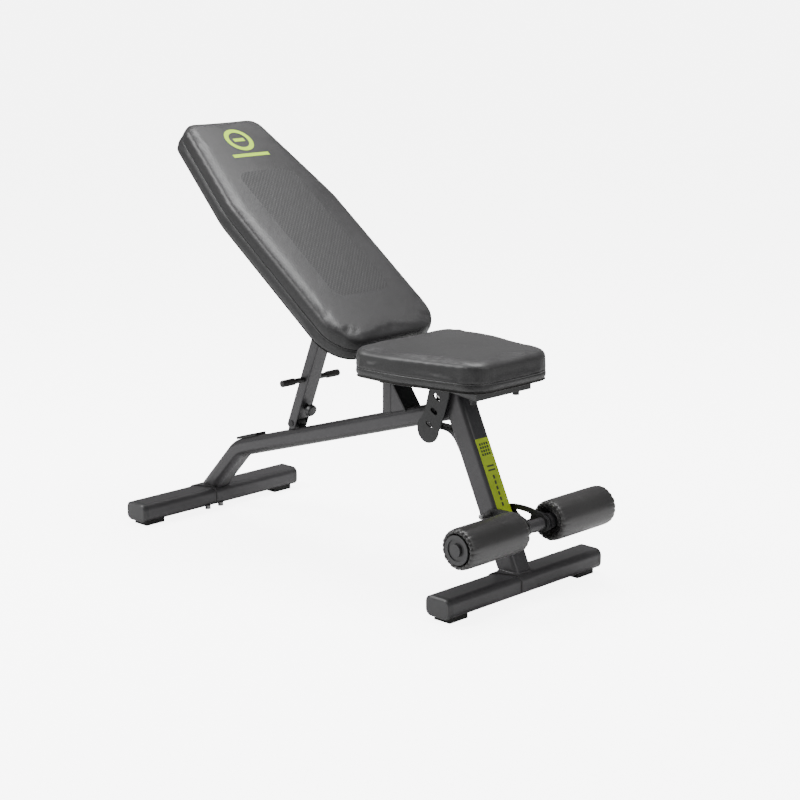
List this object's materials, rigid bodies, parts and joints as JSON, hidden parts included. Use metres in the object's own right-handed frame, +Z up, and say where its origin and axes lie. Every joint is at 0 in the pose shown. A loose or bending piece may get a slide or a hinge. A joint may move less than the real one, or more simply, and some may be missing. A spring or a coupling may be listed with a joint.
{
  "type": "decline sit-up bench",
  "caption": "Adjustable decline sit-up bench with a padded backrest on a folding strut, tilting seat, and foam ankle rollers on a bracket at the front leg.",
  "frame": {"origin": "on the floor, under the middle of the bench", "axes": "+X along the bench towards the leg rollers, +Y across it, +Z up"},
  "size_m": [1.061, 0.476, 0.9096],
  "materials": {
    "frame_steel": "satin powder coat, dark grey",
    "black_steel": "satin powder coat, black",
    "vinyl": "charcoal vinyl, soft sheen",
    "roller_vinyl": "black vinyl over foam",
    "board": "black-stained plywood",
    "rubber": "matt black rubber",
    "black_plastic": "moulded black plastic",
    "bright_steel": "bright zinc plate",
    "zinc": "dull zinc plate"
  },
  "bodies": {
    "stand": {"foot_bolts": "zinc", "front_foot_caps": "black_plastic", "front_foot_rubbers": "rubber", "front_foot_saddle": "frame_steel", "front_foot_tube": "frame_steel", "hinge_barrel": "frame_steel", "hinge_bolt_set": "zinc", "leg_top_cap": "black_plastic", "leg_tube": "frame_steel", "lock_pin_sleeve": "zinc", "post_brace": "black_steel", "post_gussets": "frame_steel", "post_tube": "frame_steel", "rear_foot_caps": "black_plastic", "rear_foot_rubbers": "rubber", "rear_foot_saddle": "frame_steel", "rear_foot_tube": "frame_steel", "roller_arm_bolt": "zinc", "roller_arm_far": "black_steel", "roller_arm_near": "black_steel", "roller_bar": "frame_steel", "roller_collars": "frame_steel", "roller_retainers": "zinc", "seat_pin_sleeve": "frame_steel", "spine_rest_pad": "rubber", "spine_strap": "frame_steel", "spine_tube": "frame_steel", "strut_lug": "black_steel"},
    "backrest": {"backrest_pad": "vinyl", "backrest_board": "board", "ladder_rail_near": "black_steel", "ladder_rail_far": "black_steel", "backrest_cross_plates": "black_steel", "backrest_bolts": "zinc"},
    "strut": {"strut_tube": "frame_steel", "strut_stub": "black_steel", "strut_cap": "black_plastic", "strut_pivot_bolt": "black_steel", "strut_head_pin": "zinc", "strut_handle_bar": "black_steel", "strut_grips": "rubber", "strut_pin_housing": "black_steel"},
    "strut_plunger": {"strut_pull_pin": "bright_steel", "strut_pull_knob": "black_plastic"},
    "seat": {"seat_pad": "vinyl", "seat_board": "board", "seat_frame": "black_steel", "seat_cheek_near": "black_steel", "seat_cheek_far": "black_steel", "seat_cross_tube": "black_steel", "seat_bolts": "black_steel"},
    "seat_plunger": {"seat_pull_pin": "bright_steel", "seat_pull_knob": "black_plastic"},
    "roller_lock": {"lock_pin": "zinc"},
    "roller_near": {"roller_foam_near": "roller_vinyl", "roller_core_near": "black_plastic", "roller_cap_near": "black_plastic"},
    "roller_far": {"roller_foam_far": "roller_vinyl", "roller_core_far": "black_plastic", "roller_cap_far": "black_plastic"}
  },
  "joints": [
    {"name": "backrest_hinge", "type": "hinge", "parent": "stand", "child": "backrest", "pos_m": [0.096, 0, 0.411], "axis": [0, 1, 0], "range_deg": [-46, 2]},
    {"name": "strut_hinge", "type": "hinge", "parent": "stand", "child": "strut", "pos_m": [-0.2045, 0, 0.253], "axis": [0, 1, 0], "range_deg": [-107, 6]},
    {"name": "strut_pull_pin", "type": "slide", "parent": "strut", "child": "strut_plunger", "axis": [0.9291, 0, -0.3697], "range_m": [0, 0.012], "stiffness_N_per_m": 300, "springref_m": -0.004},
    {"name": "seat_hinge", "type": "hinge", "parent": "stand", "child": "seat", "pos_m": [0.096, 0, 0.411], "axis": [0, -1, 0], "range_deg": [0, 6]},
    {"name": "seat_pull_pin", "type": "slide", "parent": "stand", "child": "seat_plunger", "axis": [0, 1, 0], "range_m": [-0.01, 0]},
    {"name": "roller_lock_pin", "type": "slide", "parent": "stand", "child": "roller_lock", "axis": [0, -1, 0], "range_m": [0, 0.07]},
    {"name": "roller_near_spin", "type": "hinge", "parent": "stand", "child": "roller_near", "pos_m": [0.4895, 0, 0.156], "axis": [0, 1, 0], "continuous": true},
    {"name": "roller_far_spin", "type": "hinge", "parent": "stand", "child": "roller_far", "pos_m": [0.4895, 0, 0.156], "axis": [0, 1, 0], "continuous": true}
  ],
  "couplings": [
    {"joint": "strut_hinge", "follows": "backrest_hinge", "ratio": 2.3}
  ]
}
